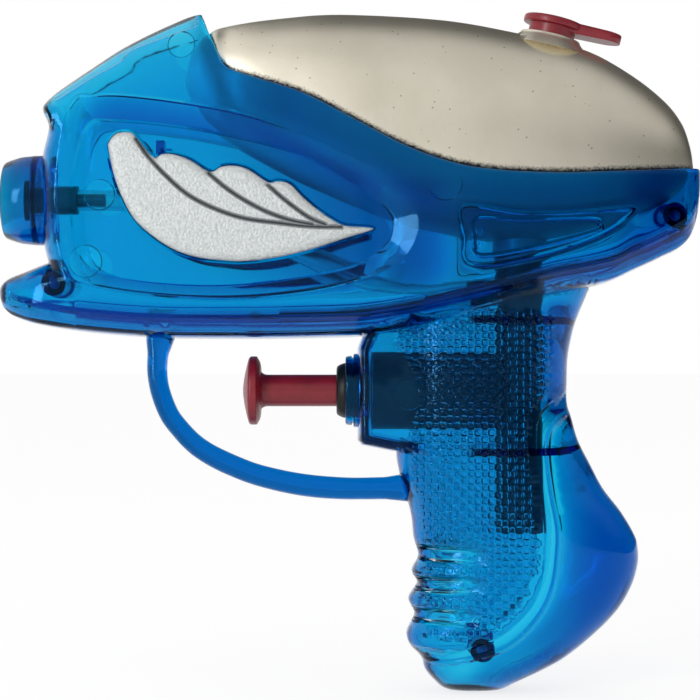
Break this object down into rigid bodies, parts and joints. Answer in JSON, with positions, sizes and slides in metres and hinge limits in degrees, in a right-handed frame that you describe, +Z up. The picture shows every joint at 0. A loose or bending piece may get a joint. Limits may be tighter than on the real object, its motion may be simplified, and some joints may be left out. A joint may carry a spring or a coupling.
{
  "type": "water squirter",
  "caption": "Toy water pistol with clear shells, a top tank with a pull-out stopper, a sprung push trigger pump in the grip and a round muzzle.",
  "frame": {"origin": "middle of the object in plan, at the lowest point of the grip", "axes": "+X to the rear, the muzzle points to -X; +Z up; the left side faces -Y"},
  "size_m": [0.15, 0.036, 0.1455],
  "materials": {
    "clear_blue": "clear tinted",
    "silver": "silver paint",
    "black_rubber": "matt",
    "black_plastic": "satin",
    "steel": "bright",
    "red_plastic": "gloss",
    "clear_hose": "clear",
    "brown_plastic": "satin"
  },
  "bodies": {
    "frame": {"left_shell": "clear_blue", "right_shell": "clear_blue", "left_wing": "silver", "right_wing": "silver", "tank": "silver", "tank_grommet": "black_rubber", "inlet_spigot": "black_plastic", "valve_body": "black_plastic", "inlet_spring": "steel", "pump_cylinder": "black_plastic", "pump_gland": "black_plastic", "return_spring": "steel", "outlet_hose": "clear_hose", "nozzle_body": "brown_plastic", "nozzle_tip": "black_plastic", "outlet_spring": "steel", "shell_screws": "steel"},
    "plunger": {"trigger": "red_plastic", "piston": "black_plastic", "piston_ring": "black_rubber"},
    "cap": {"filler_cap": "red_plastic"},
    "inlet_check": {"inlet_ball": "steel"},
    "outlet_check": {"outlet_ball": "steel"}
  },
  "joints": [
    {"name": "trigger_push", "type": "slide", "parent": "frame", "child": "plunger", "axis": [1, 0, 0], "range_m": [0, 0.012], "stiffness_N_per_m": 250, "springref_m": -0.006, "deforming": ["return_spring"]},
    {"name": "cap_pull", "type": "slide", "parent": "frame", "child": "cap", "axis": [0.2351, 0, 0.972], "range_m": [0, 0.024]},
    {"name": "inlet_drop", "type": "slide", "parent": "frame", "child": "inlet_check", "axis": [0, 0, -1], "range_m": [0, 0.001], "stiffness_N_per_m": 30, "springref_m": -0.0005, "deforming": ["inlet_spring"]},
    {"name": "outlet_lift", "type": "slide", "parent": "frame", "child": "outlet_check", "axis": [-1, 0, 0], "range_m": [0, 0.001], "stiffness_N_per_m": 30, "springref_m": -0.0005, "deforming": ["outlet_spring"]}
  ]
}
